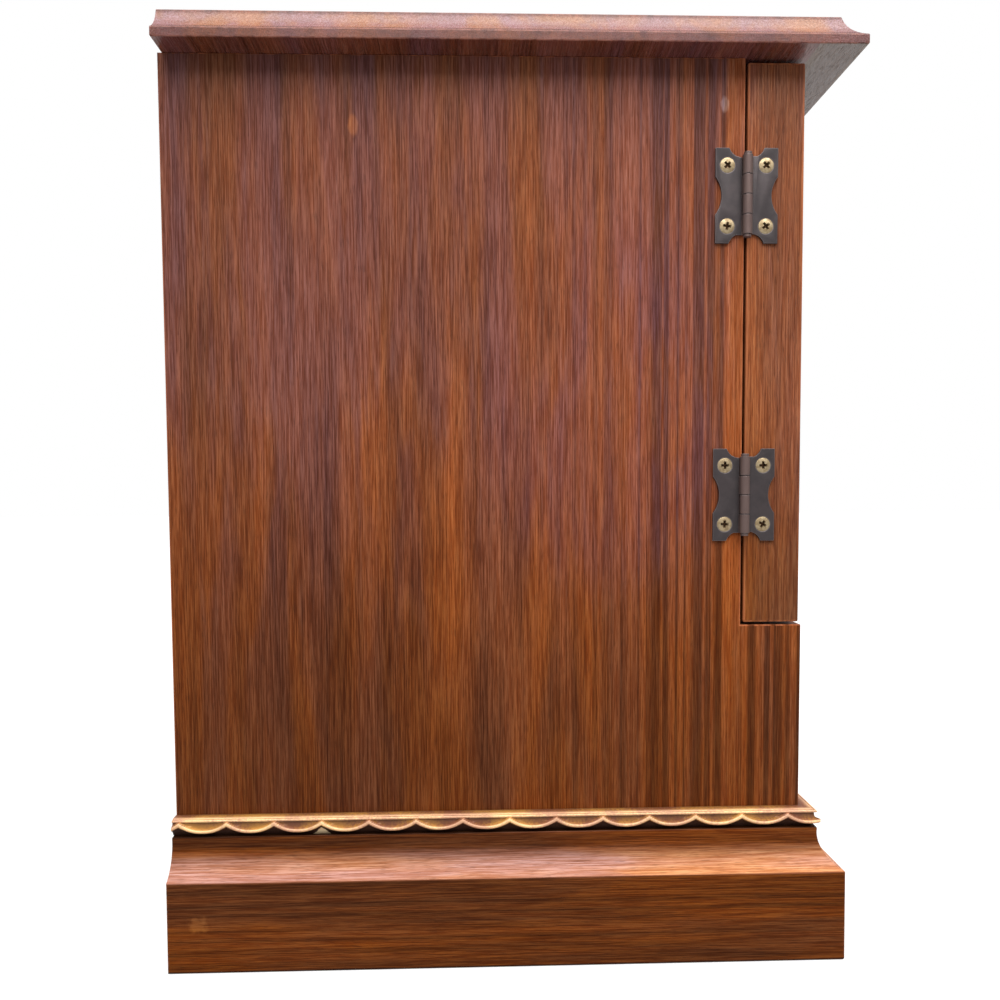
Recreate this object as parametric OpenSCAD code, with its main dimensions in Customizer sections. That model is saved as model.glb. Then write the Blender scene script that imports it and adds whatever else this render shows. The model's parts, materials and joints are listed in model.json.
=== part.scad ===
// Tabletop cabinet with two doors over one drawer
// It has a cove-moulded top, a moulded plinth and a gilt scalloped trim

/* [Case] */
// Height from the table to the top surface
overall_h = 356; // [330:1:400]
// Width across the outer faces of the two sides
case_w = 304; // [270:1:360]
// Depth of the sides, from the back to the drawer front
case_d = 243; // [225:0.5:280]
// Thickness of the two sides
side_t = 12; // [10:0.5:14]
// Thickness of the back panel
back_t = 6; // [4:0.5:8]
// Width of the rebate in each side that holds the back panel
back_rebate_w = 6; // [4:0.5:8]
// Thickness of the bottom board
bottom_t = 10; // [8:0.5:12]
// Thickness of the board between the drawer and the cupboard
divider_t = 9; // [7:0.5:12]
// Depth of the housings that hold the boards in the sides
housing_d = 4; // [2:0.5:6]
// Height of the ledge in front of the doors' lower edge
ledge_z = 128; // [115:1:140]

/* [Top] */
// Thickness of the top board
top_t = 13.2; // [11:0.2:18]
// Height of the plain lip along the lower edge of the top
lip_h = 3.5; // [2:0.1:5]
// How far the top reaches past each side
top_side_over = 11.8; // [9:0.2:16]
// How far the top reaches past the drawer front
top_front_over = 18.2; // [14:0.2:26]
// How far the top stops short of the back face
top_back_set = 1.5; // [0:0.1:4]
// Width of the cove, seen from above
cove_run = 7.6; // [5:0.1:9]
// Radius of the cove's hollow
cove_r = 14; // [12:0.5:30]

/* [Plinth] */
// Height of the plinth with its moulding
plinth_h = 49.3; // [44:0.1:54]
// Height of the plinth's flat face
plinth_face_h = 34.7; // [28:0.1:38]
// How far the plinth reaches past the case
plinth_over = 13.6; // [11:0.1:18]
// How far the plinth's neck reaches past the case
neck_over = 5.5; // [4:0.1:7]
// Radius of the hollow between the face and the neck
hollow_r = 14; // [12:0.5:30]
// Height at which the case rests in the plinth
seat_z = 36; // [34.8:0.1:42]
// How far the plinth reaches under the case
seat_w = 10; // [6:0.5:12]
// Thickness of the plinth's back rail
plinth_back_t = 16; // [12:1:20]
// Rounding of the plinth's lower edge
plinth_round = 1.2; // [0.5:0.1:2]
// Length of each glue block in the plinth's corners
block_l = 26; // [18:1:34]
// Height of each glue block
block_h = 28; // [18:1:32]

/* [Gilt trim] */
// Height of the trim
trim_h = 6.9; // [6:0.1:9]
// How far the scallops reach past the case
trim_over = 6.6; // [6:0.1:8]
// Distance from one scallop peak to the next
scallop_pitch = 18; // [14:0.5:24]
// Thickness of a scallop's raised rim
scallop_rim = 1.3; // [1:0.1:1.6]
// Height of a scallop from its lowest point to its peaks
scallop_rise = 2.4; // [1.8:0.1:2.8]
// Height of the scallops' lowest point above the trim's foot
scallop_foot = 1.1; // [0.5:0.1:1.4]
// How far the scallops stand out from the strip behind them
scallop_out = 1.6; // [1:0.1:2]
// How far the strip slopes in below the scallops
trim_undercut = 1.4; // [0.5:0.1:2]
// Radius of the two beads along the trim's upper edge
bead_r = 0.85; // [0.6:0.05:1]
// Distance from the front corner to the first scallop peak
first_peak = 12.9; // [6:0.1:18]

/* [Doors] */
// How far the doors' faces lie behind the drawer front
door_back_step = 1; // [0:0.1:2]
// Thickness of the doors
door_t = 21.8; // [18:0.2:24]
// Gap between the doors and the case behind them
door_gap = 1; // [0.6:0.1:2]
// Gap between the doors and the ledge below them
door_foot_gap = 1; // [0.6:0.1:3]
// Gap between the doors and the top board
door_head_gap = 1.6; // [0.8:0.1:3]
// Gap between the two doors
door_meet_gap = 1; // [0.6:0.1:2]
// Width of the stiles
stile_w = 32; // [26:1:40]
// Width of the rails
rail_w = 34; // [28:1:42]
// Depth of the grooves that hold the panel
groove_d = 8; // [5:0.5:10]
// Width of the grooves that hold the panel
groove_w = 6; // [4:0.5:8]
// Room for the panel to move in its grooves
panel_room = 1; // [0.5:0.1:2]
// Width of the sloping border around the panel's field
bevel_w = 18; // [10:1:24]
// How far the panel's field lies behind the door's face
field_set = 2; // [1:0.5:4]

/* [Hinges] */
// Height of a hinge leaf
leaf_h = 35.4; // [30:0.2:42]
// Width of one leaf, from the pin to its outer edge
leaf_w = 11.9; // [10:0.1:14]
// Thickness of a leaf
leaf_t = 1.1; // [0.8:0.1:1.4]
// Depth of the waist in a leaf's outer edge
waist_d = 2.4; // [1:0.1:3]
// Height of the waist in a leaf's outer edge
waist_h = 14; // [10:0.5:16]
// Radius of the curve between a leaf's ear and the barrel
ear_r = 5; // [4:0.1:5.5]
// Diameter of the barrel
barrel_d = 3.8; // [3.4:0.1:4.2]
// Length of the barrel
barrel_l = 29.6; // [26:0.2:30]
// Diameter of the hinge pin
pin_d = 1.8; // [1.5:0.1:2]
// Height of the head at each end of the pin
pin_head_h = 0.9; // [0.5:0.1:1.4]
// Gap between the two leaves
leaf_gap = 0.5; // [0.3:0.1:0.8]
// Gap between two knuckles
knuckle_gap = 0.3; // [0.2:0.05:0.5]
// Radial clearance of the pin in its knuckles
pin_clear = 0.05; // [0.02:0.01:0.1]
// Gap between the barrel and the wood behind it
barrel_set = 0.3; // [0.2:0.05:0.6]
// Distance from a door's end to the middle of the hinge
hinge_in = 49.6; // [36:0.2:60]
// Distance from the pin to a screw
screw_out = 7.4; // [6.6:0.1:8]
// Height between a leaf's two screws
screw_gap = 22.6; // [20:0.2:26]

/* [Hardware] */
// Diameter of a wood screw's shank
screw_d = 2.4; // [2:0.1:3]
// Diameter of a countersunk screw head
screw_head_d = 5.8; // [5:0.1:6.4]
// Length of a hinge screw
screw_l = 9; // [7:0.5:9.5]
// Clearance around a screw, a dowel or a pin in its hole
hole_clear = 0.1; // [0.05:0.05:0.2]
// Diameter of a knob
knob_d = 16; // [12:0.5:20]
// How far a knob stands out from its door or drawer
knob_out = 17.5; // [14:0.5:18.5]
// Diameter of the screw that holds a knob
knob_screw_d = 3.6; // [3:0.1:4]
// How far that screw reaches into its knob
knob_screw_in = 7; // [5:0.5:8]
// Thickness of the round foot of a knob
knob_foot_t = 1.8; // [1.2:0.1:2.4]
// Distance from each end of the drawer front to its knob
drawer_knob_in = 66; // [40:1:90]
// Width of a door catch
catch_w = 30; // [20:1:36]
// Depth of a door catch
catch_d = 14; // [10:0.5:20]
// Height of a door catch
catch_h = 10; // [8:0.5:12]
// Thickness of the plate that the catch holds
strike_t = 1; // [0.8:0.1:1.5]
// Width of the two slots in a catch's face
catch_slot_w = 2; // [1:0.5:3]
// Gap between the catch and its plate
catch_gap = 0.4; // [0.3:0.1:0.8]
// Length of the screws that hold the back panel and the catches
long_screw_l = 16; // [12:1:20]
// Distance from the back panel's ends to its first and last screws
back_screw_in = 24; // [16:1:40]
// Diameter of the dowels that hold the top
dowel_d = 6; // [5:0.5:7]
// Distance from the back face to the first dowel
dowel_back_d = 30; // [20:1:50]
// Distance from the front of a side to the last dowel
dowel_front_in = 24; // [16:1:40]
// Length of the dowels that hold the top
dowel_l = 18; // [14:1:20]

/* [Shelves] */
// Thickness of the shelves
shelf_t = 8; // [6:0.5:10]
// Gap between a shelf and the side at each end
shelf_gap = 0.6; // [0.4:0.1:1.5]
// Diameter of the brass shelf pins
shelf_pin_d = 5; // [4:0.5:6]
// How far a shelf pin reaches under its shelf
shelf_pin_out = 8; // [6:0.5:10]
// How far a shelf pin reaches into the side
shelf_pin_in = 7; // [5:0.5:8]
// Distance from a shelf's back and front edges to its pins
shelf_pin_edge = 30; // [20:1:50]
// Gap between a shelf's front edge and the doors' plane
shelf_front_gap = 4; // [3:0.5:10]
// Gap between a shelf and its pins
rest_gap = 0.3; // [0.1:0.05:0.4]

/* [Drawer] */
// Thickness of the drawer front
drawer_front_t = 16; // [13:0.5:20]
// Thickness of the drawer sides and back
drawer_side_t = 8; // [6:0.5:10]
// Thickness of the drawer bottom
drawer_bottom_t = 4; // [3:0.5:5]
// Gap around the drawer in its opening
drawer_gap = 0.7; // [0.5:0.1:1.2]
// Height of the groove that holds the drawer bottom
drawer_groove_z = 7; // [6:0.5:9]
// Room between the drawer and the back panel
drawer_back_room = 13; // [4:1:30]
// Length of the tails in the drawer front
front_tail_l = 11; // [8:0.5:12]
// Number of dovetails in each corner of the drawer
tails = 3; // [2:1:4]
// How much a dovetail widens on each side
tail_flare = 1.6; // [1:0.1:2]
// Width of a tail at its neck, as a share of the spacing
tail_share = 0.5; // [0.4:0.05:0.6]
// Length of each block that stops the drawer
stop_l = 30; // [16:1:40]
// Depth of each block that stops the drawer
stop_d = 12; // [8:1:16]
// Gap between a stop and the drawer front, or under the drawer bottom
stop_gap = 0.3; // [0.2:0.1:0.6]

/* [Hidden] */
$fn = 96;
eps = 0.01;
far = 2000;

mahogany = [0.42, 0.20, 0.12];
dark_mahogany = [0.33, 0.15, 0.10];
pine = [0.72, 0.55, 0.36];
gilt = [0.85, 0.68, 0.36];
bronze = [0.25, 0.21, 0.19];
brass = [0.78, 0.60, 0.28];
steel = [0.62, 0.62, 0.64];

// Places across the width, and distances d from the back face
right_x = case_w / 2;
left_x = -right_x;
inner_x = right_x - side_t;
back_y = (case_d + top_front_over) / 2;
front_y = back_y - case_d;
door_back_d = case_d - door_t - door_back_step;
door_front_d = door_back_d + door_t;
case_front_d = door_back_d - door_gap;
seam_d = door_back_d - door_gap / 2;
seam_y = back_y - seam_d;

// Heights
top_z = overall_h;
under_top = overall_h - top_t;
door_foot_z = ledge_z + door_foot_gap;
door_head_z = under_top - door_head_gap;
bottom_top_z = plinth_h + trim_h + drawer_gap;
bottom_z = bottom_top_z - bottom_t;
divider_z = ledge_z - divider_t;
drawer_z = bottom_top_z + drawer_gap;
drawer_h = divider_z - drawer_gap - drawer_z;
hinge_zs = [door_foot_z + hinge_in, door_head_z - hinge_in];

function y_at(d) = back_y - d;

// Centre of an arc of radius r through a and b, on the left of the way from a to b
function arc_centre(a, b, r) =
    let (m = (a + b) / 2, v = b - a, l = norm(v), h = sqrt(r * r - l * l / 4))
    m + h * [-v[1], v[0]] / l;

// A block between two places across, two distances from the back and two heights
module block(x0, x1, d0, d1, z0, z1) {
    translate([x0, y_at(d1), z0]) cube([x1 - x0, d1 - d0, z1 - z0]);
}

// Extrudes a section drawn in (x, z) along the depth, from d0 to d1
module along_depth(d0, d1) {
    translate([0, y_at(d0), 0]) rotate([90, 0, 0]) linear_extrude(d1 - d0) children();
}

// Extrudes a section drawn in (y, z) along the width, from x0 to x1
module along_width(x0, x1) {
    translate([x0, 0, 0]) rotate([90, 0, 90]) linear_extrude(x1 - x0) children();
}

// A cylinder along the depth
module rod_d(x, d0, d1, z, dia) {
    translate([x, y_at(d0), z]) rotate([90, 0, 0]) cylinder(h = d1 - d0, d = dia);
}

// Shelf heights and pins
shelf_lower_z = ledge_z + (under_top - ledge_z) / 3;
shelf_upper_z = ledge_z + (under_top - ledge_z) * 2 / 3;
shelf_front_d = case_front_d - shelf_front_gap;
shelf_pin_ds = [back_t + shelf_pin_edge, shelf_front_d - shelf_pin_edge];

module pin_places() {
    for (z = [shelf_lower_z, shelf_upper_z])
        for (d = shelf_pin_ds)
            translate([0, y_at(d), z - rest_gap - shelf_pin_d / 2]) children();
}

// Dowels between the sides and the top
dowel_ds = [dowel_back_d, (dowel_back_d + case_front_d - dowel_front_in) / 2, case_front_d - dowel_front_in];
dowel_in = dowel_l / 2 - 1;

module dowel_places() {
    for (d = dowel_ds)
        translate([right_x - side_t / 2, y_at(d), under_top]) children();
}

// Screws of the right-hand hinges, pointing inwards from the leaf's face
module screw_places(way) {
    for (z = hinge_zs)
        for (up = [-1, 1])
            translate([right_x + leaf_t, seam_y + way * screw_out, z + up * screw_gap / 2]) rotate([0, -90, 0])
                children();
}

// A countersunk wood screw along +Z from the rim of its head, with a cross recess
head_depth = (screw_head_d - screw_d) / 2;
recess_l = screw_head_d * 0.62;
recess_w = screw_head_d * 0.13;
module wood_screw(l) {
    difference() {
        union() {
            cylinder(h = head_depth, d1 = screw_head_d, d2 = screw_d);
            cylinder(h = l, d = screw_d);
        }
        for (turn = [45, 135])
            rotate(turn) translate([-recess_l / 2, -recess_w / 2, -eps])
                cube([recess_l, recess_w, head_depth / 2]);
    }
}

// The hole of such a screw, with clearance all round
module screw_hole(l) {
    translate([0, 0, -eps]) {
        cylinder(h = l + hole_clear, d = screw_d + 2 * hole_clear);
        cylinder(h = head_depth, d1 = screw_head_d + 2 * hole_clear, d2 = screw_d + 2 * hole_clear);
    }
}

module side() {
    color(mahogany) difference() {
        block(inner_x, right_x, 0, case_d, seat_z, under_top);
        block(inner_x - 1, right_x + 1, case_front_d, case_d + 1, ledge_z, under_top + 1);
        block(inner_x - 1, inner_x + back_rebate_w, -1, back_t, bottom_z, under_top + 1);
        block(inner_x - 1, inner_x + housing_d, back_t - eps, case_d + 1, bottom_z, bottom_top_z);
        block(inner_x - 1, inner_x + housing_d, back_t - eps, case_d + 1, divider_z, ledge_z);
        pin_places() translate([inner_x - 1, 0, 0]) rotate([0, 90, 0])
            cylinder(h = shelf_pin_in + 1.5, d = shelf_pin_d + 2 * hole_clear);
        dowel_places() translate([0, 0, -dowel_in - 1]) cylinder(h = dowel_l, d = dowel_d + 2 * hole_clear);
        screw_places(1) screw_hole(screw_l);
        back_screw_places() screw_hole(long_screw_l);
    }
}

module side_right() {
    side();
}

module side_left() {
    mirror([1, 0, 0]) side();
}

// Back panel with its screws
back_screw_zs = [bottom_z + back_screw_in, (bottom_z + under_top) / 2, under_top - back_screw_in];
back_screw_x = inner_x + back_rebate_w / 2;

module back_screw_places() {
    for (z = back_screw_zs)
        translate([back_screw_x, back_y, z]) rotate([90, 0, 0]) children();
}

module back_panel() {
    color(pine) difference() {
        block(-inner_x - back_rebate_w, inner_x + back_rebate_w, 0, back_t, bottom_z, under_top);
        for (m = [0, 1]) mirror([m, 0, 0]) back_screw_places() screw_hole(long_screw_l);
    }
}

module back_screws() {
    color(brass) for (m = [0, 1]) mirror([m, 0, 0])
        back_screw_places() wood_screw(long_screw_l);
}

module bottom_board() {
    color(mahogany) block(-inner_x - housing_d, inner_x + housing_d, back_t, case_d, bottom_z, bottom_top_z);
}

module drawer_divider() {
    color(mahogany) block(-inner_x - housing_d, inner_x + housing_d, back_t, case_d, divider_z, ledge_z);
}

// The top, with a cove along its front and its two ends
top_x = right_x + top_side_over;
top_front_d = case_d + top_front_over;
lip_z = under_top + lip_h;

// The section of an edge that faces +x, drawn with its lip at x = edge
module cove_cut(edge) {
    a = [edge, lip_z];
    b = [edge - cove_run, top_z];
    polygon([[edge + 1, lip_z], a, b, [b[0], top_z + 1], [edge + 1, top_z + 1]]);
    translate(arc_centre(b, a, cove_r)) circle(r = cove_r);
}

module top_board() {
    color(dark_mahogany) difference() {
        block(-top_x, top_x, top_back_set, top_front_d, under_top, top_z);
        for (m = [0, 1]) mirror([m, 0, 0]) along_depth(-1, top_front_d + 1) cove_cut(top_x);
        along_width(-top_x - 1, top_x + 1) mirror([1, 0]) cove_cut(-y_at(top_front_d));
        for (m = [0, 1]) mirror([m, 0, 0]) dowel_places()
            translate([0, 0, -eps]) cylinder(h = dowel_l / 2 + 0.5, d = dowel_d + 2 * hole_clear);
        for (m = [0, 1]) mirror([m, 0, 0]) catch_screw_place()
            screw_hole(long_screw_l);
    }
}

module top_dowels() {
    color(pine) for (m = [0, 1]) mirror([m, 0, 0]) dowel_places()
        translate([0, 0, -dowel_in]) cylinder(h = dowel_l - 1.5, d = dowel_d);
}

// The region in plan that a side length of moulding keeps, bounded by the mitre line of its corner
module mitre_side() {
    c = [right_x, front_y];
    s = 2 * seat_w;
    translate([0, 0, -far / 2]) linear_extrude(height = far)
        polygon([c + [-s, s], c + [far, -far], [far * 2, far * 2], [c[0] - s, far * 2]]);
}

module mitre_ends() {
    for (m = [0, 1]) mirror([m, 0, 0]) mitre_side();
}

// Section of the plinth, with x outwards from the case
module plinth_section() {
    a = [plinth_over, plinth_face_h];
    b = [neck_over, plinth_h];
    r = plinth_round;
    difference() {
        union() {
            polygon([[-seat_w, 0], [plinth_over - r, 0], [plinth_over, r], a, b, [0, plinth_h], [0, seat_z],
                [-seat_w, seat_z]]);
            translate([plinth_over - r, r]) circle(r = r);
        }
        translate(arc_centre(b, a, hollow_r)) circle(r = hollow_r);
    }
}

module plinth_right() {
    color(mahogany) intersection() {
        along_depth(0, case_d + plinth_over) translate([right_x, 0]) plinth_section();
        mitre_side();
    }
}

module plinth_left() {
    mirror([1, 0, 0]) plinth_right();
}

module plinth_front() {
    color(mahogany) difference() {
        along_width(left_x - plinth_over, right_x + plinth_over)
            mirror([1, 0]) translate([-front_y, 0]) plinth_section();
        mitre_ends();
    }
}

plinth_inner_x = right_x - seat_w;
module plinth_back() {
    color(pine) union() {
        block(-plinth_inner_x, plinth_inner_x, 0, plinth_back_t, 0, seat_z);
        block(-inner_x, inner_x, 0, plinth_back_t, seat_z - eps, bottom_z);
    }
}

module plinth_blocks() {
    color(pine) for (m = [0, 1]) mirror([m, 0, 0])
        translate([plinth_inner_x, y_at(case_d - seat_w), seat_z - block_h]) linear_extrude(block_h)
            polygon([[0, 0], [-block_l, 0], [0, block_l]]);
}

// Gilt trim: a beaded strip with a row of scallops, drawn with x outwards from the case
trim_z = plinth_h;
trim_body = trim_over - scallop_out;
bead_drop = 0.8 * bead_r;
module trim_section() {
    bead_z = trim_h - bead_r;
    polygon([[0, 0], [trim_body - trim_undercut, 0], [trim_body, scallop_foot + scallop_rise],
        [trim_body, bead_z], [0, trim_h]]);
    translate([trim_over - bead_r, bead_z - bead_drop]) circle(r = bead_r);
    translate([trim_over - 2.6 * bead_r, bead_z]) circle(r = bead_r);
}

// One scallop: a curved rim that hangs between two peaks, drawn round its lowest point
module scallop() {
    half = scallop_pitch / 2;
    rim_r = (half * half + scallop_rise * scallop_rise) / (2 * scallop_rise);
    intersection() {
        translate([0, rim_r]) difference() {
            circle(r = rim_r);
            circle(r = rim_r - scallop_rim);
        }
        translate([-half, 0]) square([scallop_pitch, 2 * scallop_rise]);
    }
}

// A row of scallops that fills a length up to a corner, in (length, height)
module scallop_row(from, corner, peak_in) {
    count = ceil((corner - from) / scallop_pitch);
    intersection() {
        for (i = [0 : count])
            translate([corner - peak_in + (0.5 - i) * scallop_pitch, scallop_foot]) scallop();
        translate([from, 0]) square([corner - from, trim_h]);
    }
}

module trim_right() {
    color(gilt) intersection() {
        translate([0, 0, trim_z]) union() {
            along_depth(0, case_d + trim_over) translate([right_x, 0]) trim_section();
            along_width(right_x + eps, right_x + trim_over) mirror([1, 0])
                scallop_row(-back_y, -front_y + trim_over, first_peak);
        }
        mitre_side();
    }
}

module trim_left() {
    mirror([1, 0, 0]) trim_right();
}

// The front row has a peak in the middle
module trim_front() {
    half_l = right_x + trim_over;
    peak_in = half_l - scallop_pitch * round((half_l - first_peak) / scallop_pitch);
    color(gilt) difference() {
        translate([0, 0, trim_z]) union() {
            along_width(left_x - trim_over, right_x + trim_over)
                mirror([1, 0]) translate([-front_y, 0]) trim_section();
            along_depth(case_d + eps, case_d + trim_over)
                for (m = [0, 1]) mirror([m, 0]) scallop_row(0, half_l, peak_in);
        }
        mitre_ends();
    }
}

module shelf(z) {
    x = inner_x - shelf_gap;
    color(mahogany) block(-x, x, back_t + shelf_gap, shelf_front_d, z, z + shelf_t);
}

module shelf_lower() {
    shelf(shelf_lower_z);
}

module shelf_upper() {
    shelf(shelf_upper_z);
}

module shelf_pins() {
    color(brass) for (m = [0, 1]) mirror([m, 0, 0]) pin_places() {
        translate([inner_x - shelf_pin_out, 0, 0]) rotate([0, 90, 0])
            cylinder(h = shelf_pin_out + shelf_pin_in, d = shelf_pin_d);
    }
}

// A door on the right, from its hinge stile at the side to its meeting stile at the middle
stile_x = right_x - stile_w;
meet_x0 = door_meet_gap / 2;
meet_x1 = meet_x0 + stile_w;
groove_d0 = door_back_d + (door_t - groove_w) / 2;
groove_d1 = groove_d0 + groove_w;
knob_x = meet_x0 + stile_w / 2;
knob_z = (door_foot_z + door_head_z) / 2;

module hinge_stile() {
    color(mahogany) difference() {
        block(stile_x, right_x, door_back_d, door_front_d, door_foot_z, door_head_z);
        block(stile_x - 1, stile_x + groove_d, groove_d0, groove_d1, door_foot_z - 1, door_head_z + 1);
        screw_places(-1) screw_hole(screw_l);
    }
}

module meeting_stile() {
    color(mahogany) difference() {
        block(meet_x0, meet_x1, door_back_d, door_front_d, door_foot_z, door_head_z);
        block(meet_x1 - groove_d, meet_x1 + 1, groove_d0, groove_d1, door_foot_z - 1, door_head_z + 1);
        rod_d(knob_x, door_back_d - 1, door_front_d + 1, knob_z, knob_screw_d + 2 * hole_clear);
    }
}

// A rail with tenons that fill the grooves of the stiles, and a groove for the panel
module rail(z0, z1, groove_z0, groove_z1) {
    color(mahogany) difference() {
        union() {
            block(meet_x1, stile_x, door_back_d, door_front_d, z0, z1);
            block(meet_x1 - groove_d, stile_x + groove_d, groove_d0, groove_d1, z0, z1);
        }
        block(meet_x1 - groove_d - 1, stile_x + groove_d + 1, groove_d0, groove_d1, groove_z0, groove_z1);
    }
}

module top_rail() {
    z = door_head_z - rail_w;
    difference() {
        rail(z, door_head_z, z - 1, z + groove_d);
        strike_screw_place() screw_hole(screw_l);
    }
}

module bottom_rail() {
    z = door_foot_z + rail_w;
    rail(door_foot_z, z, z - groove_d, z + 1);
}

// The fielded panel: each section slopes from its tongues up to the field
module panel_section(a, b, tongue_back, tongue_front, field) {
    flat = groove_d - panel_room;
    polygon([[a, tongue_back], [a, tongue_front], [a + flat, tongue_front], [a + flat + bevel_w, field],
        [b - flat - bevel_w, field], [b - flat, tongue_front], [b, tongue_front], [b, tongue_back]]);
}

module door_panel() {
    x0 = meet_x1 - groove_d + panel_room;
    x1 = stile_x + groove_d - panel_room;
    z0 = door_foot_z + rail_w - groove_d + panel_room;
    z1 = door_head_z - rail_w + groove_d - panel_room;
    tongue_back = -y_at(groove_d0 + 0.1);
    tongue_front = -y_at(groove_d1 - 0.1);
    field = -y_at(door_front_d - field_set);
    color(dark_mahogany) intersection() {
        translate([0, 0, z0]) linear_extrude(z1 - z0) mirror([0, 1])
            panel_section(x0, x1, tongue_back, tongue_front, field);
        translate([x0, 0, 0]) rotate([0, -90, 180]) linear_extrude(x1 - x0)
            panel_section(z0, z1, tongue_back, tongue_front, field);
    }
}

// A turned knob along +Z from its seat: a round foot, a neck and a flattened ball, bored for its screw
module knob() {
    r = knob_d / 2;
    ball_r = 0.42 * knob_d;
    ball_z = knob_out - ball_r + 0.6;
    color(brass) difference() {
        rotate_extrude() intersection() {
            union() {
                square([0.64 * r, knob_foot_t]);
                square([0.4 * r, ball_z]);
                translate([r - 0.8 * ball_r, ball_z]) circle(r = 0.8 * ball_r);
                translate([0, ball_z - 0.8 * ball_r]) square([r - 0.8 * ball_r, 1.6 * ball_r]);
            }
            translate([0, knob_out - knob_d]) circle(r = knob_d);
            square([r, knob_out]);
        }
        translate([0, 0, -1]) cylinder(h = knob_screw_in + 2, d = knob_screw_d + 2 * hole_clear);
    }
}

// A screw along +Z with a round slotted head below its seat
module knob_screw(l) {
    head_t = knob_screw_d / 2;
    slot = knob_screw_d / 4;
    color(brass) difference() {
        union() {
            translate([0, 0, -head_t]) cylinder(h = head_t, d = 1.9 * knob_screw_d);
            cylinder(h = l, d = knob_screw_d);
        }
        translate([-knob_screw_d, -slot / 2, -head_t - eps]) cube([2 * knob_screw_d, slot, slot]);
    }
}

module door_knob() {
    translate([knob_x, y_at(door_front_d), knob_z]) rotate([90, 0, 0]) knob();
}

module door_knob_screw() {
    translate([knob_x, y_at(door_back_d), knob_z]) rotate([90, 0, 0]) knob_screw(door_t + knob_screw_in);
}

// Catches under the top, and the plates on the doors that they hold
catch_x0 = meet_x1 + 6;
catch_x = catch_x0 + catch_w / 2;
catch_z0 = under_top - catch_h;
catch_d1 = door_back_d - strike_t - catch_gap;
strike_head_z = door_head_z - 1;
module strike_screw_place() {
    translate([catch_x, y_at(door_back_d - strike_t), (catch_z0 + strike_head_z) / 2]) rotate([90, 0, 0])
        children();
}

module strike() {
    color(steel) difference() {
        block(catch_x0, catch_x0 + catch_w, door_back_d - strike_t, door_back_d, catch_z0, strike_head_z);
        strike_screw_place() screw_hole(screw_l);
    }
}

module catch_screw_place() {
    translate([catch_x, y_at(catch_d1 - catch_d / 2), catch_z0]) children();
}

module catch_body() {
    slot_z = catch_slot_w;
    color(bronze) difference() {
        block(catch_x0, catch_x0 + catch_w, catch_d1 - catch_d, catch_d1, catch_z0, under_top);
        for (m = [-1, 1])
            translate([catch_x + m * catch_w / 4 - catch_slot_w / 2, y_at(catch_d1) - 1, catch_z0 + slot_z])
                cube([catch_slot_w, 1 + catch_slot_w, catch_h - 2 * slot_z]);
        catch_screw_place() screw_hole(long_screw_l);
    }
}

module catch_screws() {
    color(brass) for (m = [0, 1]) mirror([m, 0, 0]) catch_screw_place() wood_screw(long_screw_l);
}

module catch_right() {
    catch_body();
}

module catch_left() {
    mirror([1, 0, 0]) catch_body();
}

// Hinges: two leaves with knuckles in turn, on a pin along the door's height
knuckle_h = barrel_l / 4;
pin_x = right_x + barrel_set + barrel_d / 2;

// A leaf on the side of the pin that way gives, with the knuckles whose numbers are in its list
module leaf(z, way, knuckles) {
    foot = z - barrel_l / 2;
    l = knuckle_h - knuckle_gap;
    color(bronze) translate([0, seam_y, 0]) difference() {
        union() {
            difference() {
                translate([right_x, 0, 0]) rotate([90, 0, 90]) linear_extrude(leaf_t)
                    toward(way) leaf_outline(z);
                translate([pin_x, 0, z - leaf_h / 2 - 1])
                    cylinder(h = leaf_h + 2, d = barrel_d + 2 * barrel_set);
            }
            for (k = knuckles) translate([0, 0, foot + k * knuckle_h + knuckle_gap / 2]) {
                translate([pin_x, 0, 0]) cylinder(h = l, d = barrel_d);
                translate([right_x + barrel_set, way > 0 ? 0 : -barrel_d, 0])
                    cube([leaf_t - barrel_set, barrel_d, l]);
            }
        }
        translate([pin_x, 0, foot - 1]) cylinder(h = barrel_l + 2, d = pin_d + 2 * pin_clear);
        for (up = [-1, 1])
            translate([right_x + leaf_t, way * screw_out, z + up * screw_gap / 2]) rotate([0, -90, 0])
                screw_hole(screw_l);
    }
}

// Turns an outline drawn towards +x to the side that way gives
module toward(way) {
    if (way > 0) children();
    else mirror([1, 0]) children();
}

// A leaf's outline, with the pin on x = 0
module leaf_outline(z) {
    ear_x = barrel_d / 2;
    ear_z = leaf_h / 2 + 0.3 * ear_r;
    waist_r = (waist_h * waist_h / 4 + waist_d * waist_d) / (2 * waist_d);
    translate([0, z]) difference() {
        translate([leaf_gap / 2, -leaf_h / 2]) square([leaf_w - leaf_gap / 2, leaf_h]);
        for (up = [-1, 1]) translate([ear_x, up * ear_z]) circle(r = ear_r);
        for (up = [-1, 1]) translate([-ear_x, up * ear_z - ear_r]) square([2 * ear_x, 2 * ear_r]);
        translate([leaf_w - waist_d + waist_r, 0]) circle(r = waist_r);
    }
}

module hinge_pin(z) {
    translate([pin_x, seam_y, z - barrel_l / 2]) {
        cylinder(h = barrel_l, d = pin_d);
        for (z = [-pin_head_h, barrel_l]) translate([0, 0, z]) cylinder(h = pin_head_h, d = 0.8 * barrel_d);
    }
}

module hinge_pins() {
    color(bronze) for (z = hinge_zs) hinge_pin(z);
}

module case_screws() {
    color(brass) screw_places(1) wood_screw(screw_l);
}

module door_screws() {
    color(brass) {
        screw_places(-1) wood_screw(screw_l);
        strike_screw_place() wood_screw(screw_l);
    }
}

// The drawer, with dovetailed corners
drawer_x = inner_x - drawer_gap;
drawer_front_d = case_d;
drawer_in_d = drawer_front_d - drawer_front_t;
drawer_back_d = back_t + drawer_back_room;
tail_step = drawer_h / tails;

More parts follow.
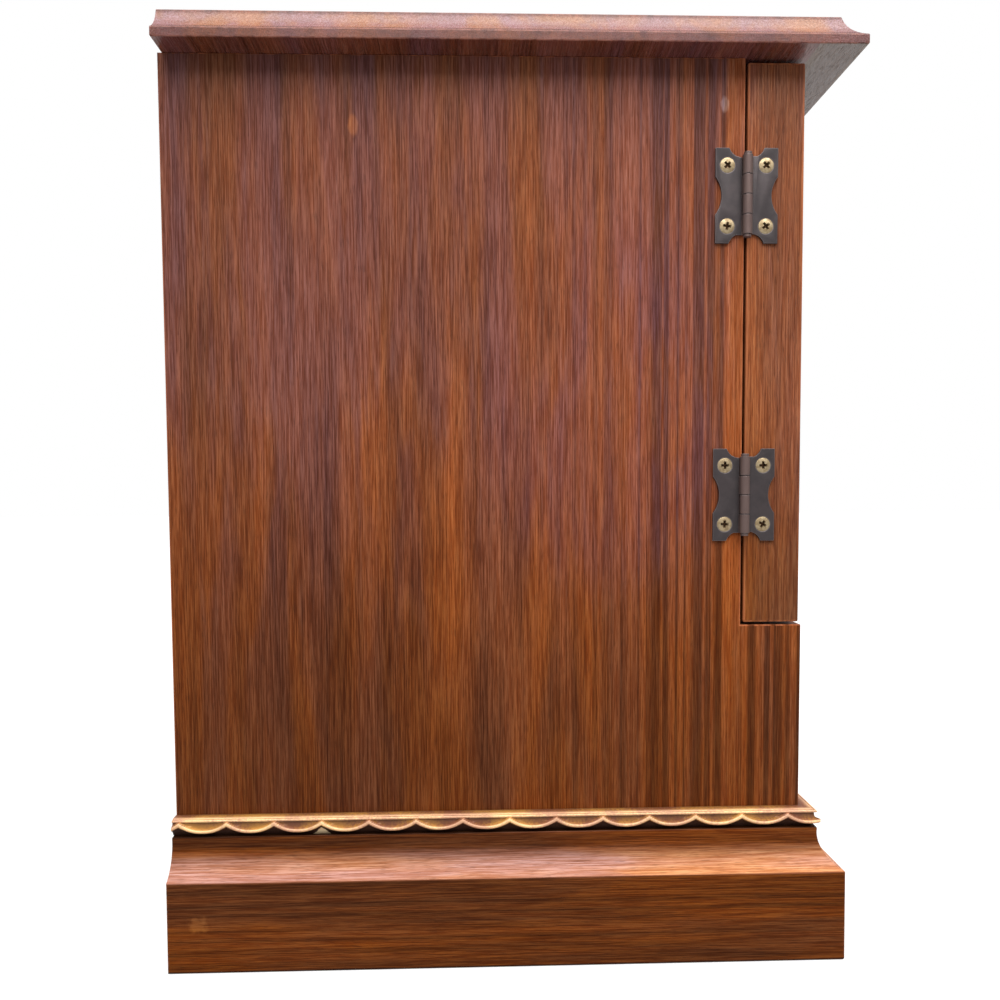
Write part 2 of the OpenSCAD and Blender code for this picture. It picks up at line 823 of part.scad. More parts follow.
// Tails of one corner, drawn in (length, height) with their necks at 0 and their ends at l
module tail_row(l, room) {
    for (i = [0 : tails - 1]) translate([0, drawer_z + (i + 0.5) * tail_step]) {
        n = tail_step * tail_share / 2 + room;
        polygon([[-room - eps, -n], [l + room, -n - tail_flare], [l + room, n + tail_flare], [-room - eps, n]]);
    }
}

module side_tails(room) {
    along_width(drawer_x - drawer_side_t - (room > 0 ? 1 : 0), drawer_x + (room > 0 ? 1 : 0)) {
        mirror([1, 0]) translate([-y_at(drawer_in_d), 0]) tail_row(front_tail_l, room);
        translate([y_at(drawer_back_d + drawer_side_t), 0]) tail_row(drawer_side_t, room);
    }
}

module bottom_groove(room) {
    x = drawer_x - drawer_side_t / 2 + room;
    z = drawer_z + drawer_groove_z;
    block(-x, x, drawer_back_d - 1, drawer_in_d + drawer_front_t / 3 + room, z, z + drawer_bottom_t + room);
}

module drawer_front() {
    color(mahogany) difference() {
        block(-drawer_x, drawer_x, drawer_in_d, drawer_front_d, drawer_z, drawer_z + drawer_h);
        for (m = [0, 1]) mirror([m, 0, 0]) side_tails(0.05);
        bottom_groove(0.1);
        for (m = [-1, 1]) rod_d(m * (drawer_x - drawer_knob_in), drawer_in_d - 1, drawer_front_d + 1,
            drawer_z + drawer_h / 2, knob_screw_d + 2 * hole_clear);
    }
}

module drawer_side_right() {
    color(pine) difference() {
        union() {
            block(drawer_x - drawer_side_t, drawer_x, drawer_back_d + drawer_side_t, drawer_in_d,
                drawer_z, drawer_z + drawer_h);
            side_tails(0);
        }
        bottom_groove(0.1);
    }
}

module drawer_side_left() {
    mirror([1, 0, 0]) drawer_side_right();
}

module drawer_back() {
    foot = drawer_z + drawer_groove_z + drawer_bottom_t + 0.1;
    color(pine) difference() {
        block(-drawer_x, drawer_x, drawer_back_d, drawer_back_d + drawer_side_t, foot, drawer_z + drawer_h);
        for (m = [0, 1]) mirror([m, 0, 0]) side_tails(0.05);
    }
}

module drawer_bottom() {
    x = drawer_x - drawer_side_t / 2;
    color(pine) block(-x, x, drawer_back_d, drawer_in_d + drawer_front_t / 3,
        drawer_z + drawer_groove_z, drawer_z + drawer_groove_z + drawer_bottom_t);
}

module drawer_knob_places(d) {
    for (m = [-1, 1])
        translate([m * (drawer_x - drawer_knob_in), y_at(d), drawer_z + drawer_h / 2]) rotate([90, 0, 0])
            children();
}

module drawer_knobs() {
    drawer_knob_places(drawer_front_d) knob();
}

module drawer_knob_screws() {
    drawer_knob_places(drawer_in_d) knob_screw(drawer_front_t + knob_screw_in);
}

module drawer_stops() {
    d = drawer_in_d - stop_gap;
    color(pine) for (m = [-1, 1]) translate([m * (drawer_x - drawer_knob_in), 0, 0])
        block(-stop_l / 2, stop_l / 2, d - stop_d, d, bottom_top_z, drawer_z + drawer_groove_z - stop_gap);
}

module to_left() {
    mirror([1, 0, 0]) children();
}

side_left();
side_right();
back_panel();
bottom_board();
drawer_divider();
top_board();
plinth_front();
plinth_left();
plinth_right();
plinth_back();
plinth_blocks();
trim_front();
trim_left();
trim_right();
top_dowels();
back_screws();
shelf_lower();
shelf_upper();
shelf_pins();
to_left() hinge_stile();  // left_hinge_stile
to_left() meeting_stile();  // left_meeting_stile
to_left() top_rail();  // left_top_rail
to_left() bottom_rail();  // left_bottom_rail
to_left() door_panel();  // left_panel
to_left() door_knob();  // left_knob
to_left() door_knob_screw();  // left_knob_screw
to_left() strike();  // left_strike
hinge_stile();  // right_hinge_stile
meeting_stile();  // right_meeting_stile
top_rail();  // right_top_rail
bottom_rail();  // right_bottom_rail
door_panel();  // right_panel
door_knob();  // right_knob
door_knob_screw();  // right_knob_screw
strike();  // right_strike
to_left() leaf(hinge_zs[1], 1, [0, 2]);  // upper_left_case_leaf
to_left() leaf(hinge_zs[1], -1, [1, 3]);  // upper_left_door_leaf
to_left() leaf(hinge_zs[0], 1, [0, 2]);  // lower_left_case_leaf
to_left() leaf(hinge_zs[0], -1, [1, 3]);  // lower_left_door_leaf
leaf(hinge_zs[1], 1, [0, 2]);  // upper_right_case_leaf
leaf(hinge_zs[1], -1, [1, 3]);  // upper_right_door_leaf
leaf(hinge_zs[0], 1, [0, 2]);  // lower_right_case_leaf
leaf(hinge_zs[0], -1, [1, 3]);  // lower_right_door_leaf
to_left() hinge_pins();  // left_hinge_pins
hinge_pins();  // right_hinge_pins
to_left() case_screws();  // left_case_screws
to_left() door_screws();  // left_door_screws
case_screws();  // right_case_screws
door_screws();  // right_door_screws
catch_left();
catch_right();
catch_screws();
drawer_front();
drawer_side_left();
drawer_side_right();
drawer_back();
drawer_bottom();
drawer_knobs();
drawer_knob_screws();
drawer_stops();
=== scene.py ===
import json
import math

import bmesh
import bpy
from mathutils import Matrix, Vector


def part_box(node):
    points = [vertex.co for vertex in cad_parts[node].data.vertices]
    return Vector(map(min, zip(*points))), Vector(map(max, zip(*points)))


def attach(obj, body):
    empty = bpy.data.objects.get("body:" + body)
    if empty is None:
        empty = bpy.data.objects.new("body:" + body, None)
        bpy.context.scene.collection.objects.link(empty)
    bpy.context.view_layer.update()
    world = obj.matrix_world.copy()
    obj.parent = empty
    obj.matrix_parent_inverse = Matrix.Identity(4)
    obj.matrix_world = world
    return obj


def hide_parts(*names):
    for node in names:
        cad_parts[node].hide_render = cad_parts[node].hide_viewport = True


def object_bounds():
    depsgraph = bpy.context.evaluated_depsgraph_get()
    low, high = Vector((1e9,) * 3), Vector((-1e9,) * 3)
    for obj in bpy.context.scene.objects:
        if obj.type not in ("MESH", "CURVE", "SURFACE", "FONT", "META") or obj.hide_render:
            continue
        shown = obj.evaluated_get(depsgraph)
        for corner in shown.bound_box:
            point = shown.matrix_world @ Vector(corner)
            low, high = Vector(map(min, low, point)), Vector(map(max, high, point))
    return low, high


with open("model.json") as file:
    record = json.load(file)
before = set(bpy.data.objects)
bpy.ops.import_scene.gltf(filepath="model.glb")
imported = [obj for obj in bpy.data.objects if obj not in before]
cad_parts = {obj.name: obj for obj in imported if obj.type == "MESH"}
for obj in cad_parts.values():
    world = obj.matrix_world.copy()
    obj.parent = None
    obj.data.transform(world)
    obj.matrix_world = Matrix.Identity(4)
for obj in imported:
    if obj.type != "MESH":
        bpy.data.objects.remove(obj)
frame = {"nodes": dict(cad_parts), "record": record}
cad_low, cad_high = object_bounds()
scene = bpy.context.scene
scene.view_settings.view_transform = "Standard"

# Camera, floor and lamps
# The view is square on to the cabinet's left side, from a hand's height above the table,
# turned a little towards the front and tilted down. The light comes from a wide soft box overhead.
camera_place = Vector((-0.4969, 0.0158, 0.1811))
turn_to_front = 0.0316
tilt_down = 0.0560
roll = 0.0052
focal_px = 899.6
frame_px = 1000
axis_below_middle_px = 40
sensor_mm = 36


def turned(first, second, angle):
    """Turns two square axes in their own plane, first towards second."""
    cosine, sine = math.cos(angle), math.sin(angle)
    return first * cosine + second * sine, second * cosine - first * sine


ahead, right = turned(Vector((1, 0, 0)), Vector((0, -1, 0)), turn_to_front)
ahead, up = turned(ahead, Vector((0, 0, 1)), -tilt_down)
right, up = turned(right, up, -roll)
camera_data = bpy.data.cameras.new("camera")
camera_data.sensor_width = sensor_mm
camera_data.lens = sensor_mm * focal_px / frame_px
camera_data.shift_y = axis_below_middle_px / frame_px
camera_data.clip_start = 0.01
camera = bpy.data.objects.new("camera", camera_data)
camera.matrix_world = Matrix.Translation(camera_place) @ Matrix((right, up, -ahead)).transposed().to_4x4()
scene.collection.objects.link(camera)
scene.camera = camera


def soft_lamp(name, place, size, watts, colour):
    """A square soft box at a place, aimed at the middle of the cabinet."""
    data = bpy.data.lights.new(name, "AREA")
    data.shape = "SQUARE"
    data.size = size
    data.energy = watts
    data.color = colour
    lamp = bpy.data.objects.new(name, data)
    lamp.location = place
    lamp.rotation_euler = (cabinet_middle - Vector(place)).to_track_quat("-Z", "Y").to_euler()
    scene.collection.objects.link(lamp)


cabinet_middle = Vector((0, 0, 0.18))
soft_lamp("overhead_lamp", (-0.75, -0.15, 1.5), size=1.7, watts=46, colour=(1, 0.97, 0.94))
soft_lamp("back_lamp", (0.9, 1.3, 1.3), size=1.0, watts=10, colour=(0.95, 0.97, 1))
soft_lamp("front_lamp", (0.7, -1.5, 1.1), size=1.2, watts=14, colour=(1, 0.98, 0.96))


def add(tree, kind, **settings):
    """Adds a node and sets its plain properties."""
    made = tree.nodes.new(kind)
    for key, value in settings.items():
        setattr(made, key, value)
    return made


def wired(tree, *pairs):
    """Links sockets in pairs, each from a source to a target."""
    for source, target in pairs:
        tree.links.new(source, target)


def joined(tree, value, into):
    """Feeds an input from a socket, or sets it to a plain value."""
    if isinstance(value, bpy.types.NodeSocket):
        tree.links.new(value, into)
    else:
        into.default_value = value


def math_node(tree, operation, first, second=0.0):
    """A Math node whose inputs are sockets or numbers."""
    made = add(tree, "ShaderNodeMath", operation=operation)
    joined(tree, first, made.inputs[0])
    joined(tree, second, made.inputs[1])
    return made.outputs[0]


def vector_node(tree, operation, vector, other=(0, 0, 0)):
    """A Vector Math node on a vector and a plain second one."""
    made = add(tree, "ShaderNodeVectorMath", operation=operation)
    tree.links.new(vector, made.inputs[0])
    made.inputs[1].default_value = other
    return made.outputs["Value" if operation == "LENGTH" else "Vector"]


def axis_of(tree, position, axis):
    """The number of a position along one axis."""
    parts = add(tree, "ShaderNodeSeparateXYZ")
    tree.links.new(position, parts.inputs[0])
    return parts.outputs[axis]


def ranged(tree, value, low, high, out_low=0.0, out_high=1.0):
    """Maps a value's range to another, clamped and smooth."""
    made = add(tree, "ShaderNodeMapRange", interpolation_type="SMOOTHSTEP")
    tree.links.new(value, made.inputs["Value"])
    for name, number in (("From Min", low), ("From Max", high), ("To Min", out_low), ("To Max", out_high)):
        made.inputs[name].default_value = number
    return made.outputs["Result"]


# The room lights the cabinet softly, and the camera sees plain white behind it.
world = bpy.data.worlds.new("pale_room")
scene.world = world
world.use_nodes = True
sky = world.node_tree
sky.nodes.clear()
room_light = add(sky, "ShaderNodeBackground")
room_light.inputs["Color"].default_value = (0.93, 0.96, 1, 1)
room_light.inputs["Strength"].default_value = 0.42
white_back = add(sky, "ShaderNodeBackground")
white_back.inputs["Color"].default_value = (1, 1, 1, 1)
white_back.inputs["Strength"].default_value = 1
ray = add(sky, "ShaderNodeLightPath")
seen = add(sky, "ShaderNodeMixShader")
world_out = add(sky, "ShaderNodeOutputWorld")
wired(
    sky,
    (ray.outputs["Is Camera Ray"], seen.inputs["Fac"]),
    (room_light.outputs[0], seen.inputs[1]),
    (white_back.outputs[0], seen.inputs[2]),
    (seen.outputs[0], world_out.inputs["Surface"]),
)

# The floor is a grey surface that takes the light. For the camera it also glows, and more so farther away,
# and where it lies open beyond the cabinet its glow is mirrored too.
floor_half = 6
floor_grey = (0.36, 0.36, 0.36, 1)
open_floor_x = 0.25
near_distance, far_distance = 0.5, 2.5
near_glow, far_glow = 0.74, 1.0
bpy.ops.mesh.primitive_plane_add(size=2 * floor_half, location=(0, 0, 0))
floor = bpy.context.active_object
floor.name = "floor"
floor_paint = bpy.data.materials.new("floor_paint")
floor_paint.use_nodes = True
paint = floor_paint.node_tree
paint.nodes.clear()
lit = add(paint, "ShaderNodeBsdfDiffuse")
lit.inputs["Color"].default_value = floor_grey
glow = add(paint, "ShaderNodeEmission")
glow.inputs["Color"].default_value = (1, 1, 1, 1)
floor_ray = add(paint, "ShaderNodeLightPath")
floor_place = add(paint, "ShaderNodeTexCoord").outputs["Object"]
beyond = math_node(paint, "GREATER_THAN", axis_of(paint, floor_place, "X"), open_floor_x)
mirrored = math_node(paint, "MULTIPLY", floor_ray.outputs["Is Glossy Ray"], beyond)
shown = math_node(paint, "MAXIMUM", floor_ray.outputs["Is Camera Ray"], mirrored)
away = vector_node(paint, "LENGTH", floor_place)
brightness = ranged(paint, away, near_distance, far_distance, near_glow, far_glow)
lit_and_glowing = add(paint, "ShaderNodeAddShader")
floor_out = add(paint, "ShaderNodeOutputMaterial")
wired(
    paint,
    (math_node(paint, "MULTIPLY", shown, brightness), glow.inputs["Strength"]),
    (lit.outputs[0], lit_and_glowing.inputs[0]),
    (glow.outputs[0], lit_and_glowing.inputs[1]),
    (lit_and_glowing.outputs[0], floor_out.inputs["Surface"]),
)
floor.data.materials.append(floor_paint)

# Side boards
# Each side is one wide red-brown board with upright grain, lacquered, with a step at the front for the door.
# Short dark pores cover it and straight lines run near the front. Painted light is in its colour too: painted
# shade towards the back, at the foot and under the top, a painted sheen higher up and a violet one in the
# middle.


def socket(tree, direction, kind, name, value=None):
    """Adds one named socket to a node group."""
    made = tree.interface.new_socket(name=name, in_out=direction, socket_type=kind)
    if value is not None:
        made.default_value = value


def noise(tree, vector, scale, detail=2, roughness=0.5, distortion=0.0):
    """A cloudy noise on a vector."""
    made = add(tree, "ShaderNodeTexNoise", noise_dimensions="3D")
    made.inputs["Scale"].default_value = scale
    made.inputs["Detail"].default_value = detail
    made.inputs["Roughness"].default_value = roughness
    made.inputs["Distortion"].default_value = distortion
    tree.links.new(vector, made.inputs["Vector"])
    return made.outputs["Fac"]


def grain_group():
    """Grain along the vector's Z: zones, hues, streaks, straight lines, short pores, fibres and a height."""
    tree = bpy.data.node_groups.new("wood_grain", "ShaderNodeTree")
    socket(tree, "INPUT", "NodeSocketVector", "Vector")
    inside = add(tree, "NodeGroupInput")
    outside = add(tree, "NodeGroupOutput")

    def layer(low, high, across, along, **figure):
        """Noise drawn out along the grain, with the part of its range from low to high spread over 0 to 1."""
        stretched = vector_node(tree, "MULTIPLY", inside.outputs["Vector"], (across, across, along))
        return ranged(tree, noise(tree, stretched, 1, **figure), low, high)

    fibre_relief = 0.4
    pores = layer(0.54, 0.68, across=2900, along=210, detail=1.5)
    fibres = layer(0.33, 0.67, across=2100, along=55, detail=3, roughness=0.65)
    layers = {
        "Zones": layer(0.36, 0.64, across=78, along=5.5, detail=3, roughness=0.55, distortion=0.4),
        "Hues": layer(0.38, 0.62, across=52, along=6, detail=3, roughness=0.6, distortion=0.5),
        "Streaks": layer(0.34, 0.66, across=400, along=15, detail=4, roughness=0.6),
        "Lines": layer(0.4, 0.6, across=380, along=1.0, detail=2),
        "Pores": pores,
        "Fibres": fibres,
        "Height": math_node(tree, "SUBTRACT", math_node(tree, "MULTIPLY", fibres, fibre_relief), pores),
    }
    for name, value in layers.items():
        socket(tree, "OUTPUT", "NodeSocketFloat", name)
        tree.links.new(value, outside.inputs[name])
    return tree


wood_grain = grain_group()


def mixed(tree, factor, first, second, blend="MIX"):
    """A colour mix whose factor and colours are sockets or plain values."""
    first_colour, second_colour, colour_out = 6, 7, 2
    made = add(tree, "ShaderNodeMix", data_type="RGBA", blend_type=blend, clamp_factor=True)
    joined(tree, factor, made.inputs[0])
    for index, value in ((first_colour, first), (second_colour, second)):
        joined(tree, value if isinstance(value, bpy.types.NodeSocket) else (*value, 1), made.inputs[index])
    return made.outputs[colour_out]


def ramp(low, high, start, end, axis):
    """A mask that goes from one strength to another between two places along an axis."""
    return lambda tree, position: ranged(tree, axis_of(tree, position, axis), low, high, start, end)


def above(low, high, strength, axis="Z"):
    """A mask that rises from one height to another, or along another axis."""
    return ramp(low, high, 0, strength, axis)


def below(low, high, strength, axis="Z"):
    """A mask that falls from one height to another, or along another axis."""
    return ramp(low, high, strength, 0, axis)


def spot(place, reach, strength, squash=(1, 1, 1), ragged=0.0):
    """A mask round a place, within a reach that squash divides along each axis, with a ragged outline."""
    full_share = 0.6

    def mask(tree, position):
        offset = vector_node(tree, "SUBTRACT", position, place)
        distance = vector_node(tree, "LENGTH", vector_node(tree, "MULTIPLY", offset, squash))
        if ragged:
            wobble = math_node(tree, "MULTIPLY", noise(tree, position, 2 / reach), ragged)
            distance = math_node(tree, "ADD", distance, wobble)
        return math_node(tree, "MULTIPLY", ranged(tree, distance, reach * full_share, reach, 1, 0), strength)

    return mask


def evenly(strength):
    """A mask of the same strength everywhere."""
    return lambda tree, position: strength


def overlap(first, second):
    """A mask that is strong only where two others are."""
    return lambda tree, position: math_node(tree, "MULTIPLY", first(tree, position), second(tree, position))


def new_material(name):
    """A material with its tree, its main shader and the position on the object."""
    made = bpy.data.materials.new(name)
    made.use_nodes = True
    tree = made.node_tree
    return made, tree, tree.nodes["Principled BSDF"], add(tree, "ShaderNodeTexCoord").outputs["Object"]


def carried(tree, name):
    """The value that a mesh carries under a name, or 0 where it has none."""
    return add(tree, "ShaderNodeAttribute", attribute_name=name).outputs["Fac"]


def paler(colour, gain, lift):
    """A colour made brighter, as where an edge is rubbed."""
    return [gain * number + lift for number in colour]


def bumped(tree, shader, height, strength, distance):
    """Gives a shader a fine relief that follows a height."""
    bump = add(tree, "ShaderNodeBump")
    bump.inputs["Strength"].default_value = strength
    bump.inputs["Distance"].default_value = distance
    tree.links.new(height, bump.inputs["Height"])
    tree.links.new(bump.outputs[0], shader.inputs["Normal"])


zone_share, streak_share, fibre_share = 0.42, 0.30, 0.28
edge_wear = 0.6
pore_roughness = 0.25
quarter = math.pi / 2
grain_turns = {"X": (0, quarter, 0), "Y": (quarter, 0, 0), "Z": (0, 0, 0)}


def wood(
    name,
    grain,
    light,
    dark,
    pore,
    offset=(0, 0, 0),
    gloss=0.34,
    specular=0.3,
    pore_mix=0.3,
    hue_mix=1.0,
    lines=evenly(0.2),
    tints=(),
):
    """Lacquered wood on object coordinates. Grain is the axis that it runs along.

    lines and the first half of each tint are functions that give a mask from the tree and the position."""
    made, tree, shader, position = new_material(name)
    turn = add(tree, "ShaderNodeMapping")
    turn.inputs["Location"].default_value = offset
    turn.inputs["Rotation"].default_value = grain_turns[grain]
    tree.links.new(position, turn.inputs["Vector"])
    figure = add(tree, "ShaderNodeGroup", node_tree=wood_grain)
    tree.links.new(turn.outputs[0], figure.inputs["Vector"])
    out = figure.outputs
    tone = math_node(tree, "MULTIPLY", out["Zones"], zone_share)
    for layer, share in (("Streaks", streak_share), ("Fibres", fibre_share)):
        tone = math_node(tree, "ADD", tone, math_node(tree, "MULTIPLY", out[layer], share))
    to_lines = math_node(tree, "SUBTRACT", out["Lines"], tone)
    straight = math_node(tree, "MULTIPLY", to_lines, lines(tree, position))
    colour = mixed(tree, math_node(tree, "ADD", tone, straight), dark, light)
    for mask, tint in tints:
        colour = mixed(tree, mask(tree, position), colour, tint)
    for strength, layer, low_tint, high_tint in (
        (1.0, "Fibres", (0.74, 0.72, 0.70), (1.22, 1.24, 1.26)),
        (hue_mix, "Fibres", (1.0, 0.84, 0.70), (1.0, 1.16, 1.34)),
        (hue_mix, "Hues", (1.10, 1.02, 0.74), (0.90, 0.96, 1.30)),
    ):
        colour = mixed(tree, strength, colour, mixed(tree, out[layer], low_tint, high_tint), "MULTIPLY")
    colour = mixed(tree, math_node(tree, "MULTIPLY", out["Pores"], pore_mix), colour, pore)
    wear = math_node(tree, "MULTIPLY", out["Streaks"], edge_wear)
    rubbed = math_node(tree, "MULTIPLY", carried(tree, "edge"), wear)
    colour = mixed(tree, rubbed, colour, paler(light, gain=1.3, lift=0.04))
    tree.links.new(colour, shader.inputs["Base Color"])
    rough = ranged(tree, out["Pores"], 0, 1, gloss, gloss + pore_roughness)
    tree.links.new(rough, shader.inputs["Roughness"])
    shader.inputs["Specular IOR Level"].default_value = specular
    bumped(tree, shader, out["Height"], strength=0.3, distance=0.00025)
    return made


def merged_copy(node):
    """A bmesh of a CAD node with its loose triangles joined into whole faces."""
    bm = bmesh.new()
    bm.from_mesh(frame["nodes"][node].data)
    bmesh.ops.remove_doubles(bm, verts=bm.verts, dist=1e-6)
    bmesh.ops.dissolve_limit(bm, angle_limit=math.radians(0.4), verts=bm.verts, edges=bm.edges)
    return bm


def finished(bm, name, material, body, smooth_deg):
    """Makes a piece of a bmesh, riding on its body, smooth below an angle and flat where it is square."""
    square = 0.99999
    mesh = bpy.data.meshes.new(name)
    bm.to_mesh(mesh)
    bm.free()
    mesh.materials.clear()
    mesh.materials.append(material)
    for face in mesh.polygons:
        face.use_smooth = max(abs(number) for number in face.normal) < square
    mesh.set_sharp_from_angle(angle=math.radians(smooth_deg))
    piece = bpy.data.objects.new(name, mesh)
    scene.collection.objects.link(piece)
    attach(piece, body)
    return piece


body_of_node = {
    node: body for body, members in frame["record"]["behaviour"]["bodies"].items() for node in members
}
slot_of_node = {part["node"]: part["material_slot"] for part in frame["record"]["subparts"]}


def stands_for(piece, node):
    """The piece replaces a CAD node, which is hidden."""
    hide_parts(node)


def worked(node, name, material, arris=0.0005, least_edge=0.006, smooth_deg=20):
    """A CAD node's shape with its long arrises broken, standing for the node."""
    least_bend = math.radians(35)
    bm = merged_copy(node)
    worn = bm.faces.layers.float.new("edge")
    convex = [e for e in bm.edges if len(e.link_faces) == 2 and e.is_convex]
    edges = [e for e in convex if e.calc_length() > least_edge and e.calc_face_angle() > least_bend]
    broken = bmesh.ops.bevel(
        bm, geom=edges, offset=arris, segments=2, profile=0.6, affect="EDGES", clamp_overlap=False
    )
    for face in broken["faces"]:
        face[worn] = 1.0
    stands_for(finished(bm, name, material, body_of_node[node], smooth_deg), node)


side_light = (0.405, 0.108, 0.028)
side_dark = (0.066, 0.017, 0.007)
side_pore = (0.032, 0.011, 0.005)
case_low, case_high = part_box("side_left")
# Painted shade: the sides darken towards the back, as the light falls from the front.
back_painted_shade = (above(-0.03, 0.14, strength=0.40, axis="Y"), (0.052, 0.020, 0.017))
# Painted shade: the sides darken and brown towards the foot.
foot_painted_shade = (below(0.06, 0.225, strength=0.56), (0.075, 0.021, 0.003))
# Painted sheen: a pale rose-violet reflection of the lacquer, painted into the colour higher up.
painted_rosy_sheen = (above(0.12, 0.24, strength=0.36), (0.22, 0.090, 0.068))
# Painted shadow: a greyed dark band along the top, under the top's overhang.
overhang_painted_shadow = (above(0.30, 0.345, strength=0.2), (0.09, 0.055, 0.052))
# Painted sheen: a darker violet cloud of reflected cool light on the middle of the side.
violet_sheen_place = (case_low.x, -0.035, 0.215)
violet_painted_sheen = (spot(violet_sheen_place, reach=0.085, strength=0.16, squash=(1, 1.6, 1)), (0.12, 0.046, 0.075))
pale_place = (case_low.x, -0.0808, 0.3257)
pale_mark = (
    spot(pale_place, reach=0.0035, strength=0.55, squash=(1, 1.6, 0.8), ragged=0.001),
    (0.42, 0.25, 0.20),
)
fleck_place = (case_low.x, 0.0589, 0.317)
orange_fleck = (
    spot(fleck_place, reach=0.006, strength=0.6, squash=(1, 2.2, 1), ragged=0.002),
    (0.42, 0.14, 0.05),
)
side_wood = wood(
    "side_wood",
    "Z",
    side_light,
    side_dark,
    side_pore,
    specular=0.07,
    lines=below(-0.08, 0.02, strength=0.75, axis="Y"),
    tints=(back_painted_shade, foot_painted_shade, painted_rosy_sheen, overhang_painted_shadow, violet_painted_sheen, pale_mark, orange_fleck),
)
worked("side_left", "left_side_board", side_wood)
worked("side_right", "right_side_board", side_wood)

# Top board
# One board with its grain across the width, a lip along the lower edge and a cove above it.
# The moulding runs along the front and both ends, and the back is cut square. The cove is painted pale as a
# painted highlight, and the underside of the front overhang was never lacquered.
top_light = (0.25, 0.080, 0.050)
top_dark = (0.09, 0.026, 0.02)
top_low, top_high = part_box("top_board")
lip_top = top_low.z + 0.0045
bare_back = cad_low.y + 0.018
# Painted highlight: the cove is painted pale where its lacquer catches the overhead light.
cove_highlight = overlap(above(lip_top, lip_top + 0.0015, 0.5), below(top_high.z - 0.002, top_high.z - 0.0005, 1))
underside = overlap(
    below(bare_back, bare_back + 0.0001, 0.8, "Y"), below(top_low.z + 0.0001, top_low.z + 0.0003, 1)
)
top_wood = wood(
    "top_wood",
    "X",
    top_light,
    top_dark,
    side_pore,
    offset=(0.3, 0.1, 0.2),
    gloss=0.27,
    specular=0.38,
    pore_mix=0.4,
    tints=((cove_highlight, (0.46, 0.24, 0.18)), (underside, (0.20, 0.145, 0.085))),
)
worked("top_board", "top_board_wood", top_wood, arris=0.0004)

# Plinth
# Mitred lengths of moulding: a flat face, a hollow and a neck, with the grain along each length.
# The case sits in its rebate, and pine blocks are glued in the corners. The lower half of the hollow is
# painted pale, partly as rubbed lacquer and partly as a painted highlight. A painted contact shadow runs
# along the floor, and under the trim the neck is painted dark with dirt and painted shade.
plinth_light = (0.210, 0.053, 0.009)
plinth_dark = (0.050, 0.015, 0.004)
plinth_low, plinth_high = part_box("plinth_left")
hollow_start, hollow_palest, hollow_end = 0.0346, 0.0365, 0.0445
# Part wear and part painted highlight: the lower half of the hollow is painted pale.
hollow_wear_and_highlight = overlap(above(hollow_start, hollow_start + 0.0003, 0.8), below(hollow_palest, hollow_end, 1))
# Painted shadow: a dark contact line along the floor under the plinth.
floor_contact_shadow = below(0.0002, 0.0016, 0.85)
# Dirt and painted shade: the neck under the trim is painted dark.
neck_dirt_and_shade = above(plinth_high.z - 0.0004, plinth_high.z - 0.0001, 0.9)
patch_place = (plinth_low.x, 0.1188, 0.019)
orange_patch = spot(patch_place, reach=0.0062, strength=0.7, squash=(1, 0.9, 1.1), ragged=0.005)
plinth_tints = (
    (hollow_wear_and_highlight, (0.63, 0.285, 0.160)),
    (floor_contact_shadow, (0.012, 0.006, 0.004)),
    (neck_dirt_and_shade, (0.02, 0.008, 0.004)),
    (orange_patch, (0.30, 0.10, 0.02)),
)


def plinth_wood(name, grain, offset):
    """The plinth's lacquered wood, with its grain along one axis."""
    colours = (plinth_light, plinth_dark, side_pore)
    return wood(name, grain, *colours, offset=offset, gloss=0.32, specular=0.06, tints=plinth_tints)


plinth_side_wood = plinth_wood("plinth_side_wood", "Y", (0.1, 0.7, 0.4))
plinth_front_wood = plinth_wood("plinth_front_wood", "X", (0.5, 0.2, 0.6))
for hand in ("left", "right"):
    worked("plinth_" + hand, hand + "_plinth_moulding", plinth_side_wood, arris=0.0004)
worked("plinth_front", "front_plinth_moulding", plinth_front_wood, arris=0.0004)

# Gilt trim
# A pressed strip glued on the plinth along three sides, with two beads over a row of hanging scallops.
# It is gilt over a red ground, dark in the hollows and below with antiquing glaze and painted shade, with one
# old chip.
mm = 0.001
pitch = 18 * mm
first_peak = 12.9 * mm
trim_low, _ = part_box("trim_left")
case_x = -case_low.x
trim_reach = -trim_low.x - case_x

# The strip's section has its lengths in mm: the rim of a scallop, the ground below it, the shell above it
# and the two beads. The gold and dark shares go from 0 to 1.
rim_low, rim_rise, rim_half, rim_inset = 2.2, 3.0, 0.95, 0.15
rim_power = 2.3
ground_foot, ground_climb = 3.4, 0.7
shell_foot, shell_fall, shell_span = 5.0, 0.5, 2.6
# The dark share stands for antiquing glaze and painted shade: full under the rims, and rising in the shell
# towards the beads, beneath which shade falls.
shell_gold, shell_gold_fall, shell_painted_shade = 0.62, 0.3, 0.25
rim_gold, rim_clean = 1.25, 2.2
bead_r = 0.52
bead_out, bead_height = 4.9, 6.12
back_bead_out, back_bead_height = 3.85, 6.38


def lower_point(run, height):
    """The face below the beads at a run and a height in mm: its reach, how bare the gilt is, and how dark."""
    half_pitch = pitch / mm / 2
    swing = abs(run / half_pitch - 1)
    rim_height = rim_low + rim_rise * swing**rim_power
    slope = rim_power * rim_rise * swing ** (rim_power - 1) / half_pitch
    off = (height - rim_height) / math.hypot(1, slope)
    ridge = max(0.0, 1 - (off / rim_half) ** 2)
    if off < 0:
        ground, gold, dark = ground_foot + ground_climb * height, 0.0, 1.0
    else:
        up = min(1.0, off / shell_span)
        ground = shell_foot - shell_fall * up
        gold, dark = shell_gold - shell_gold_fall * up, shell_painted_shade * up
    reach = ground + (trim_reach / mm - rim_inset - ground) * math.sqrt(ridge)
    if ridge:
        gold = max(gold, min(1.0, rim_gold * ridge))
        dark *= 1 - min(1.0, rim_clean * ridge)
    return reach, gold, dark


